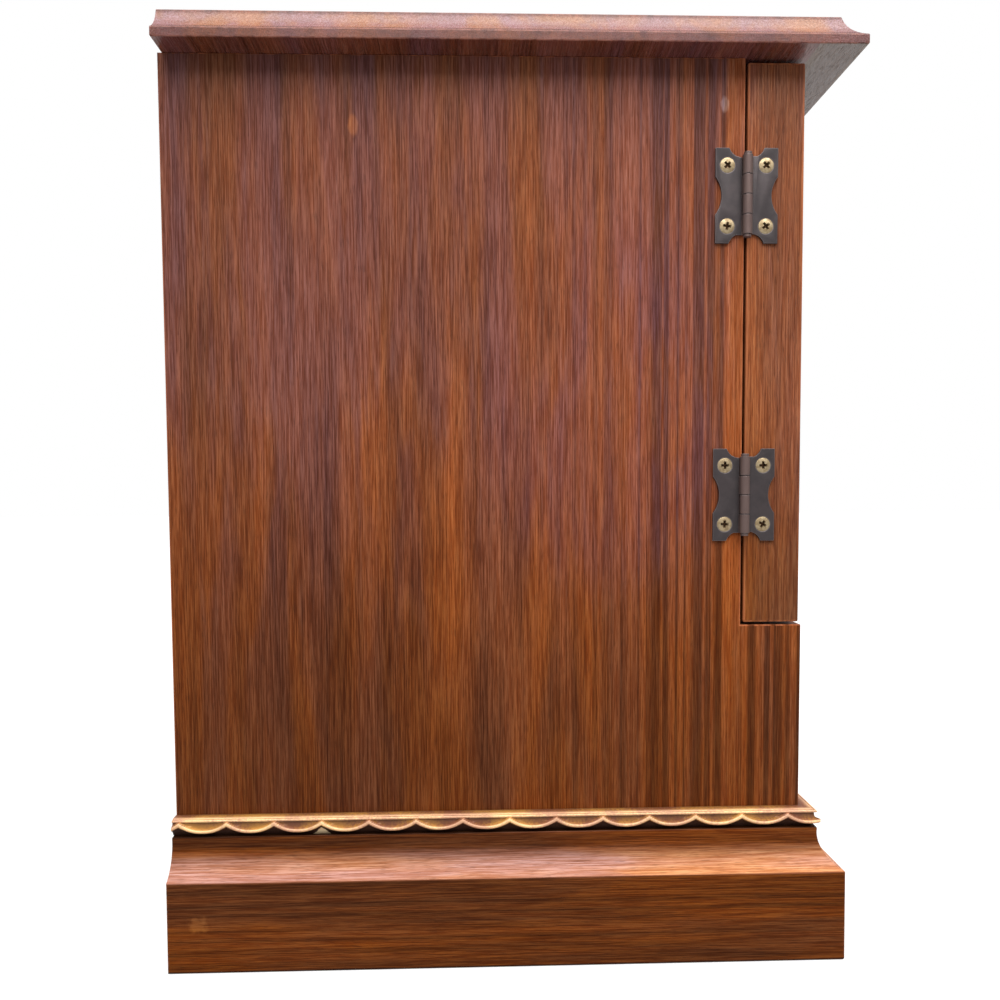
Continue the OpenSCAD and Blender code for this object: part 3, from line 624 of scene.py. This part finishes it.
def bead_arc(reach, height, start_deg, span_deg, points):
    """Points round a bead whose middle is at a reach and a height."""
    arc = []
    for i in range(points):
        angle = math.radians(start_deg + span_deg * i / (points - 1))
        arc.append((reach + bead_r * math.cos(angle), height + bead_r * math.sin(angle)))
    return arc


def tile_ring(run):
    """One closed section of the trim as (reach, height, gold, dark), from the foot up and down the wall."""
    back_gold, groove_gold = 0.9, 0.2
    ring = []
    steps = 30
    for i in range(steps):
        height = (bead_height - bead_r) * i / (steps - 1)
        reach, gold, dark = lower_point(run, height)
        ring.append((reach, height, gold, dark))
    for reach, height in bead_arc(bead_out, bead_height, -80, 165, 11):
        ring.append((reach, height, 1.0, 0.0))
    for i, (reach, height) in enumerate(bead_arc(back_bead_out, back_bead_height, 10, 80, 7)):
        ring.append((reach, height, back_gold if i else groove_gold, 0.0))
    ring.append((0.0, back_bead_height + bead_r, 0.25, 0.3))
    ring.append((0.0, 0.0, 0.0, 1.0))
    return ring


def scallop_tile():
    """One scallop from peak to peak, open at both ends: run along X, reach along -Y, height along Z."""
    columns = 25
    rings = [tile_ring(pitch / mm * i / (columns - 1)) for i in range(columns)]
    places = []
    for i, ring in enumerate(rings):
        places += [(pitch * i / (columns - 1), -reach * mm, height * mm) for reach, height, _, _ in ring]
    ring_count = len(rings[0])
    faces = []
    for here in range(0, (columns - 1) * ring_count, ring_count):
        there = here + ring_count
        for point in range(ring_count):
            after = (point + 1) % ring_count
            faces.append((here + point, there + point, there + after, here + after))
    mesh = bpy.data.meshes.new("scallop_tile")
    mesh.from_pydata(places, [], faces)
    for index, name in ((2, "gold"), (3, "dark")):
        layer = mesh.attributes.new(name, "FLOAT", "POINT")
        layer.data.foreach_set("value", [point[index] for ring in rings for point in ring])
    return bpy.data.objects.new("scallop_tile", mesh)


def row_tree():
    """Repeats a tile along X and joins the seams."""
    tree = bpy.data.node_groups.new("scallop_row", "GeometryNodeTree")
    socket(tree, "INPUT", "NodeSocketGeometry", "Geometry")
    socket(tree, "INPUT", "NodeSocketObject", "Tile")
    socket(tree, "INPUT", "NodeSocketInt", "Count", 1)
    socket(tree, "INPUT", "NodeSocketFloat", "Pitch", pitch)
    socket(tree, "INPUT", "NodeSocketMaterial", "Material")
    socket(tree, "OUTPUT", "NodeSocketGeometry", "Geometry")
    inside = add(tree, "NodeGroupInput")
    outside = add(tree, "NodeGroupOutput")
    step = add(tree, "ShaderNodeCombineXYZ")
    line = add(tree, "GeometryNodeMeshLine", mode="OFFSET", count_mode="TOTAL")
    tile = add(tree, "GeometryNodeObjectInfo", transform_space="ORIGINAL")
    places = add(tree, "GeometryNodeInstanceOnPoints")
    real = add(tree, "GeometryNodeRealizeInstances")
    merge = add(tree, "GeometryNodeMergeByDistance")
    paint = add(tree, "GeometryNodeSetMaterial")
    merge.inputs["Distance"].default_value = 2e-6
    wired(
        tree,
        (inside.outputs["Pitch"], step.inputs["X"]),
        (step.outputs[0], line.inputs["Offset"]),
        (inside.outputs["Count"], line.inputs["Count"]),
        (inside.outputs["Tile"], tile.inputs["Object"]),
        (line.outputs["Mesh"], places.inputs["Points"]),
        (tile.outputs["Geometry"], places.inputs["Instance"]),
        (places.outputs["Instances"], real.inputs["Geometry"]),
        (real.outputs["Geometry"], merge.inputs["Geometry"]),
        (merge.outputs["Geometry"], paint.inputs["Geometry"]),
        (inside.outputs["Material"], paint.inputs["Material"]),
        (paint.outputs["Geometry"], outside.inputs["Geometry"]),
    )
    return tree


def evaluated_mesh(thing):
    """The plain mesh that an object's modifiers give."""
    bpy.context.view_layer.update()
    depsgraph = bpy.context.evaluated_depsgraph_get()
    return bpy.data.meshes.new_from_object(thing.evaluated_get(depsgraph))


def nodes_mesh(name, tree, carrier_mesh, **values):
    """The plain mesh that a Geometry Nodes tree gives on a mesh, with its inputs set by name."""
    carrier = bpy.data.objects.new(name, carrier_mesh)
    scene.collection.objects.link(carrier)
    modifier = carrier.modifiers.new(name, "NODES")
    modifier.node_group = tree
    for item in tree.interface.items_tree:
        if item.in_out == "INPUT" and item.name in values:
            modifier[item.identifier] = values[item.name]
    made = evaluated_mesh(carrier)
    bpy.data.objects.remove(carrier)
    return made


def gilt_material():
    """Worn gilding: gold where it is bare, a red-brown ground between, and black glaze with painted shade in
    dark places.
    """
    bright_gold, dull_gold = (0.95, 0.62, 0.30), (0.64, 0.35, 0.21)
    thin_gold, thinner_gold = (0.56, 0.27, 0.060), (0.24, 0.085, 0.040)
    red_ground = (0.10, 0.030, 0.010)
    black_glaze_and_shade = (0.026, 0.009, 0.005)
    pale_chip = (0.92, 0.72, 0.44)
    chip_y = 73.9 * mm
    chip_full, chip_reach, chip_ragged = 3.7 * mm, 4.3 * mm, 1.4 * mm
    made, tree, shader, position = new_material("gilt")
    gold = carried(tree, "gold")
    dark = carried(tree, "dark")
    patches = noise(tree, position, 60, detail=3)
    grit = noise(tree, position, 1100, detail=4)
    worn = math_node(tree, "ADD", patches, math_node(tree, "MULTIPLY", grit, 0.5))
    bright = mixed(tree, ranged(tree, worn, 0.62, 0.9), bright_gold, dull_gold)
    middle = mixed(tree, ranged(tree, worn, 0.6, 0.9), thin_gold, thinner_gold)
    amount = math_node(tree, "ADD", gold, math_node(tree, "MULTIPLY", grit, 0.3))
    colour = mixed(tree, ranged(tree, amount, 0.15, 0.75), red_ground, middle)
    colour = mixed(tree, ranged(tree, amount, 0.75, 1.15), colour, bright)
    # Antiquing glaze and painted shade: black where the dark share is high.
    colour = mixed(tree, math_node(tree, "MULTIPLY", dark, 0.9), colour, black_glaze_and_shade)
    aside = math_node(tree, "SUBTRACT", axis_of(tree, position, "Y"), chip_y)
    climb = math_node(tree, "SUBTRACT", axis_of(tree, position, "Z"), trim_low.z)
    spread = math_node(tree, "ADD", math_node(tree, "ABSOLUTE", aside), climb)
    spread = math_node(tree, "ADD", spread, math_node(tree, "MULTIPLY", grit, chip_ragged))
    left_side = math_node(tree, "LESS_THAN", axis_of(tree, position, "X"), 0.0)
    chip = math_node(tree, "MULTIPLY", ranged(tree, spread, chip_full, chip_reach, 1, 0), left_side)
    colour = mixed(tree, math_node(tree, "MULTIPLY", chip, dark), colour, pale_chip)
    tree.links.new(colour, shader.inputs["Base Color"])
    shader.inputs["Metallic"].default_value = 0.15
    rough = ranged(tree, grit, 0.3, 0.7, out_low=0.35, out_high=0.6)
    tree.links.new(rough, shader.inputs["Roughness"])
    bumped(tree, shader, grit, strength=0.35, distance=0.0002)
    return made


gilt = gilt_material()
scallop_row = row_tree()
tile = scallop_tile()


def trim_length(node, name, start, count, turn, cuts):
    """A row of scallops from a start, turned into place and cut by planes.

    Each cut is a point on the plane and the plane's outward normal."""
    carrier = bpy.data.meshes.new(name)
    row = nodes_mesh(name, scallop_row, carrier, Tile=tile, Count=count, Pitch=pitch, Material=gilt)
    bm = bmesh.new()
    bm.from_mesh(row)
    bmesh.ops.transform(bm, matrix=turn @ Matrix.Translation((start, 0, 0)), verts=bm.verts)
    for point, normal in cuts:
        geometry = bm.verts[:] + bm.edges[:] + bm.faces[:]
        bmesh.ops.bisect_plane(bm, geom=geometry, plane_co=point, plane_no=normal, clear_outer=True)
        bmesh.ops.holes_fill(bm, edges=[e for e in bm.edges if e.is_boundary])
    bmesh.ops.recalc_face_normals(bm, faces=bm.faces)
    stands_for(finished(bm, name, gilt, "case", smooth_deg=42), node)


corner_run = case_high.y - case_low.y + trim_reach
side_start = (corner_run - first_peak) % pitch - pitch
side_count = math.ceil((corner_run - side_start) / pitch)
for hand, sign in (("left", -1), ("right", 1)):
    axes = Matrix(((0, -sign, 0), (-1, 0, 0), (0, 0, 1))).to_4x4()
    corner = Vector((sign * case_x, case_low.y, 0))
    trim_length(
        "trim_" + hand,
        hand + "_gilt_trim",
        side_start,
        side_count,
        Matrix.Translation((sign * case_x, case_high.y, trim_low.z)) @ axes,
        ((Vector((0, case_high.y, 0)), (0, 1, 0)), (corner, (-sign, -1, 0))),
    )
front_count = 2 * math.ceil((case_x + trim_reach) / pitch)
trim_length(
    "trim_front",
    "front_gilt_trim",
    -front_count / 2 * pitch,
    front_count,
    Matrix.Translation((0, case_low.y, trim_low.z)),
    tuple((Vector((sign * case_x, case_low.y, 0)), (sign, 1, 0)) for sign in (-1, 1)),
)

# Boards, shelves and pale inner parts
# The floor, the board over the drawer and the shelves are lacquered. The back, the drawer's box and the
# blocks are pale wood, planed and waxed. The back panel keeps its CAD shape and only takes the wood.
board_light = (0.32, 0.10, 0.035)
board_dark = (0.12, 0.033, 0.013)
board_wood = wood("board_wood", "X", board_light, board_dark, side_pore, offset=(0.2, 0.9, 0.1))
for node, name in (
    ("bottom_board", "bottom_board_wood"),
    ("drawer_divider", "divider_board"),
    ("shelf_lower", "lower_shelf"),
    ("shelf_upper", "upper_shelf"),
):
    worked(node, name, board_wood)
pale_light = (0.66, 0.43, 0.22)
pale_dark = (0.48, 0.28, 0.13)
pale_pore = (0.25, 0.13, 0.06)
pale_woods = {}
for axis in "XYZ":
    pale_name = "pale_wood_" + axis.lower()
    pale_woods[axis] = wood(pale_name, axis, pale_light, pale_dark, pale_pore, gloss=0.5, hue_mix=0.25)
for node, name, axis in (
    ("plinth_back", "plinth_back_rail", "X"),
    ("plinth_blocks", "plinth_glue_blocks", "Z"),
    ("drawer_back", "drawer_back_board", "X"),
    ("drawer_bottom", "drawer_bottom_board", "X"),
    ("drawer_stops", "drawer_stop_blocks", "X"),
    ("top_dowels", "dowels", "Z"),
    ("drawer_side_left", "left_drawer_side", "Y"),
    ("drawer_side_right", "right_drawer_side", "Y"),
):
    worked(node, name, pale_woods[axis])
for part in frame["nodes"]["back_panel"].material_slots:
    part.material = pale_woods["Z"]

# Doors and drawer front
# Stiles and rails are tenoned together round a fielded panel. The wood matches the sides,
# and the front of the drawer is one board of it with its grain across.
door_light = (0.40, 0.112, 0.026)
door_dark = (0.10, 0.027, 0.010)
panel_light = (0.32, 0.085, 0.026)
# Painted light on the stiles, as on the sides: painted shade at the foot, a painted sheen higher up and a
# painted shadow under the top.
door_foot_painted_shade = (below(0.13, 0.25, strength=0.55), (0.10, 0.034, 0.009))
door_painted_sheen = (above(0.14, 0.24, strength=0.35), (0.23, 0.095, 0.075))
door_overhang_painted_shadow = (above(0.30, 0.345, strength=0.25), (0.11, 0.055, 0.048))
stile_wood = wood(
    "stile_wood",
    "Z",
    door_light,
    door_dark,
    side_pore,
    offset=(0.4, 0.3, 0),
    specular=0.15,
    pore_mix=0.35,
    tints=(door_foot_painted_shade, door_painted_sheen, door_overhang_painted_shadow),
)
rail_wood = wood("rail_wood", "X", door_light, door_dark, side_pore, offset=(0.1, 0.2, 0.9), pore_mix=0.45)
panel_wood = wood("panel_wood", "Z", panel_light, door_dark, side_pore, offset=(0.8, 0.1, 0))
for hand in ("left", "right"):
    for part in ("hinge_stile", "meeting_stile"):
        worked(f"{hand}_{part}", f"{hand}_door_{part}", stile_wood, arris=0.0008)
    for part in ("top_rail", "bottom_rail"):
        worked(f"{hand}_{part}", f"{hand}_door_{part}", rail_wood)
    worked(hand + "_panel", hand + "_door_panel", panel_wood, arris=0.0003)
worked("drawer_front", "drawer_front_board", rail_wood, arris=0.0008)

# Hinges, knobs and catches
# Butterfly hinges are stamped from sheet and coloured grey, with a rolled barrel painted a lighter brown,
# partly as wear and partly as a painted highlight.
# Knobs, their screws and the shelf pins are brass, the catch plates are steel, and the catches are dark.


def metal(name, bright, dull, roughness, metallic=1.0, patch_scale=160, tints=()):
    """Metal with patches of tarnish and fine scratches."""
    recess_brown = (0.055, 0.024, 0.007)
    edge_shine = 0.5
    patch_roughness = 0.2
    made, tree, shader, position = new_material(name)
    shader.inputs["Metallic"].default_value = metallic
    patches = noise(tree, position, patch_scale, detail=5)
    fine = noise(tree, position, 1600, detail=3)
    colour = mixed(tree, ranged(tree, patches, 0.38, 0.62), bright, dull)
    for mask, tint in tints:
        colour = mixed(tree, mask(tree, position), colour, tint)
    rubbed = math_node(tree, "MULTIPLY", carried(tree, "edge"), edge_shine)
    colour = mixed(tree, rubbed, colour, paler(bright, gain=2.2, lift=0.08))
    # Inside the screws' cross recesses the colour is darkened to a brown.
    tree.links.new(mixed(tree, carried(tree, "recess_dark"), colour, recess_brown), shader.inputs["Base Color"])
    rough = ranged(tree, patches, 0.3, 0.7, roughness, roughness + patch_roughness)
    tree.links.new(rough, shader.inputs["Roughness"])
    bumped(tree, shader, fine, strength=0.15, distance=0.00008)
    return made


seam_y = sum(v.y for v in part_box("left_hinge_pins")) / 2
band_half, band_full = 2.1 * mm, 1.7 * mm
barrel_band = overlap(
    above(seam_y - band_half, seam_y - band_full, 0.75, "Y"),
    below(seam_y + band_full, seam_y + band_half, 1, "Y"),
)
# Part wear and part painted highlight: the barrel is painted a lighter brown.
barrel_wear_and_highlight = (0.19, 0.125, 0.11)
bronze = metal(
    "grey_bronze",
    (0.072, 0.058, 0.060),
    (0.052, 0.043, 0.045),
    roughness=0.34,
    metallic=0.45,
    tints=((barrel_band, barrel_wear_and_highlight),),
)
brass = metal("worn_brass", (0.62, 0.45, 0.20), (0.38, 0.26, 0.11), roughness=0.24)
plate_steel = metal("plated_steel", (0.6, 0.6, 0.6), (0.45, 0.45, 0.45), roughness=0.3)
catch_case = metal("catch_case", (0.05, 0.04, 0.035), (0.03, 0.025, 0.022), roughness=0.5, metallic=0.0)
fitting_finish = {
    "hinge_bronze": bronze,
    "brass": brass,
    "plate_steel": plate_steel,
    "catch_bronze": catch_case,
}
screw_nodes = [node for node in frame["nodes"] if node.endswith("_screws") and "knob" not in node]
for node in frame["nodes"]:
    if slot_of_node[node] in fitting_finish and node not in screw_nodes:
        finish = fitting_finish[slot_of_node[node]]
        worked(node, node + "_fitting", finish, arris=0.00014, least_edge=0.0, smooth_deg=25)

# Screws
# Countersunk brass screws with a cross recess, darkened inside. Each one stops at its own angle.
# Those of the back panel are driven in until their heads are level with it.
head_r = 2.9 * mm
shank_r = 1.2 * mm
dome = 0.3 * mm
rim_depth = 0.15 * mm
point_length = 2 * mm
recess_size = (3.9 * mm, 1.15 * mm, 1.6 * mm)
recess_end = (0.45, 0.6)
recess_dark_r, recess_dark_low, recess_dark_high = 1.5 * mm, 0.2 * mm, 0.9 * mm
screw_brass = metal(
    "screw_brass", (0.52, 0.41, 0.25), (0.34, 0.25, 0.14), roughness=0.36, metallic=0.7, patch_scale=700
)


def lathe(name, outline, steps=40):
    """A closed body turned round Z from (radius, height) points that start and end on the axis."""
    bm = bmesh.new()
    points = [bm.verts.new((radius, 0, height)) for radius, height in outline]
    edges = [bm.edges.new(pair) for pair in zip(points, points[1:])]
    bmesh.ops.spin(bm, geom=points + edges, axis=(0, 0, 1), cent=(0, 0, 0), steps=steps, angle=2 * math.pi)
    bmesh.ops.remove_doubles(bm, verts=bm.verts, dist=1e-6)
    bmesh.ops.recalc_face_normals(bm, faces=bm.faces)
    mesh = bpy.data.meshes.new(name)
    bm.to_mesh(mesh)
    bm.free()
    return mesh


def screw_with_recess(name, length):
    """A screw along +Z from the rim of its domed head, with a tapered cross cut into it."""
    outline = [
        (0, -dome),
        (head_r * 0.45, -dome * 0.85),
        (head_r * 0.8, -dome * 0.4),
        (head_r * 0.95, 0),
        (head_r, rim_depth),
        (shank_r, head_r - shank_r),
        (shank_r, length - point_length),
        (0, length),
    ]
    body = bpy.data.objects.new(name, lathe(name, outline))
    cross = bmesh.new()
    for turn in (0, quarter):
        block = bmesh.ops.create_cube(cross, size=1)["verts"]
        bmesh.ops.scale(cross, vec=recess_size, verts=block)
        for v in block:
            if v.co.z > 0:
                v.co.x *= recess_end[0]
                v.co.y *= recess_end[1]
        bmesh.ops.rotate(cross, cent=(0, 0, 0), matrix=Matrix.Rotation(turn, 3, "Z"), verts=block)
    cutter_mesh = bpy.data.meshes.new("recess")
    cross.to_mesh(cutter_mesh)
    cross.free()
    cutter = bpy.data.objects.new("recess", cutter_mesh)
    for thing in (body, cutter):
        scene.collection.objects.link(thing)
    cut = body.modifiers.new("recess", "BOOLEAN")
    cut.operation = "DIFFERENCE"
    cut.solver = "EXACT"
    cut.use_self = True
    cut.object = cutter
    mesh = evaluated_mesh(body)
    # The inside of the cross recess is marked to be painted darker.
    recess_dark = mesh.attributes.new("recess_dark", "FLOAT", "POINT")
    for v in mesh.vertices:
        inside = math.hypot(v.co.x, v.co.y) < recess_dark_r and recess_dark_low < v.co.z < recess_dark_high
        recess_dark.data[v.index].value = 1.0 if inside else 0.0
    bpy.data.objects.remove(body)
    bpy.data.objects.remove(cutter)
    return bpy.data.objects.new(name, mesh)


def screws_tree():
    """Puts a screw on every point, along the point's own direction, turned by chance round its axis."""
    number_limit, number_out = 3, 1
    tree = bpy.data.node_groups.new("driven_screws", "GeometryNodeTree")
    socket(tree, "INPUT", "NodeSocketGeometry", "Geometry")
    socket(tree, "INPUT", "NodeSocketObject", "Screw")
    socket(tree, "INPUT", "NodeSocketInt", "Seed", 1)
    socket(tree, "INPUT", "NodeSocketMaterial", "Material")
    socket(tree, "OUTPUT", "NodeSocketGeometry", "Geometry")
    inside = add(tree, "NodeGroupInput")
    outside = add(tree, "NodeGroupOutput")
    screw = add(tree, "GeometryNodeObjectInfo", transform_space="ORIGINAL")
    pointing = add(tree, "GeometryNodeInputNamedAttribute", data_type="FLOAT_VECTOR")
    pointing.inputs["Name"].default_value = "pointing"
    along = add(tree, "FunctionNodeAlignRotationToVector", axis="Z")
    chance = add(tree, "FunctionNodeRandomValue", data_type="FLOAT")
    chance.inputs[number_limit].default_value = math.pi
    spun = add(tree, "ShaderNodeCombineXYZ")
    turn = add(tree, "FunctionNodeRotateRotation", rotation_space="LOCAL")
    turn_by = add(tree, "FunctionNodeEulerToRotation")
    places = add(tree, "GeometryNodeInstanceOnPoints")
    real = add(tree, "GeometryNodeRealizeInstances")
    paint = add(tree, "GeometryNodeSetMaterial")
    wired(
        tree,
        (inside.outputs["Screw"], screw.inputs["Object"]),
        (pointing.outputs["Attribute"], along.inputs["Vector"]),
        (inside.outputs["Seed"], chance.inputs["Seed"]),
        (chance.outputs[number_out], spun.inputs["Z"]),
        (spun.outputs[0], turn_by.inputs[0]),
        (along.outputs[0], turn.inputs["Rotation"]),
        (turn_by.outputs[0], turn.inputs["Rotate By"]),
        (inside.outputs["Geometry"], places.inputs["Points"]),
        (screw.outputs["Geometry"], places.inputs["Instance"]),
        (turn.outputs[0], places.inputs["Rotation"]),
        (places.outputs["Instances"], real.inputs["Geometry"]),
        (real.outputs["Geometry"], paint.inputs["Geometry"]),
        (inside.outputs["Material"], paint.inputs["Material"]),
        (paint.outputs["Geometry"], outside.inputs["Geometry"]),
    )
    return tree


def screw_seats(node):
    """The middle of each head's rim, the way the screw points and its length, from the CAD node."""
    wider_than_shank = 1.8 * mm
    bm = merged_copy(node)
    taken = set()
    seats = []
    for start in bm.verts:
        if start in taken:
            continue
        taken.add(start)
        group, queue = [], [start]
        while queue:
            v = queue.pop()
            group.append(v)
            for e in v.link_edges:
                other = e.other_vert(v)
                if other not in taken:
                    taken.add(other)
                    queue.append(other)
        low = Vector(min(v.co[i] for v in group) for i in range(3))
        high = Vector(max(v.co[i] for v in group) for i in range(3))
        middle = (low + high) / 2
        axis = max(range(3), key=lambda i: (high - low)[i])
        across = [i for i in range(3) if i != axis]
        wide = [v.co for v in group if max(abs(v.co[i] - middle[i]) for i in across) > wider_than_shank]
        head = sum(co[axis] for co in wide) / len(wide)
        sign = 1 if head < middle[axis] else -1
        direction = Vector([sign if i == axis else 0 for i in range(3)])
        middle[axis] = low[axis] if sign > 0 else high[axis]
        seats.append((middle, direction, high[axis] - low[axis]))
    bm.free()
    return seats


driven_screws = screws_tree()
screw_kinds = {}
first_seed = 3
for seed, node in enumerate(sorted(screw_nodes), start=first_seed):
    seats = screw_seats(node)
    length = round(seats[0][2], 4)
    sunk = dome if node == "back_screws" else 0.0
    if length not in screw_kinds:
        screw_kinds[length] = screw_with_recess(f"screw_{round(length / mm)}_mm", length)
    points = bpy.data.meshes.new(node + "_seats")
    points.from_pydata([place + sunk * direction for place, direction, _ in seats], [], [])
    way = points.attributes.new("pointing", "FLOAT_VECTOR", "POINT")
    way.data.foreach_set("vector", [number for _, direction, _ in seats for number in direction])
    made = nodes_mesh(node, driven_screws, points, Screw=screw_kinds[length], Seed=seed, Material=screw_brass)
    bm = bmesh.new()
    bm.from_mesh(made)
    stands_for(finished(bm, node + "_brass", screw_brass, body_of_node[node], smooth_deg=25), node)
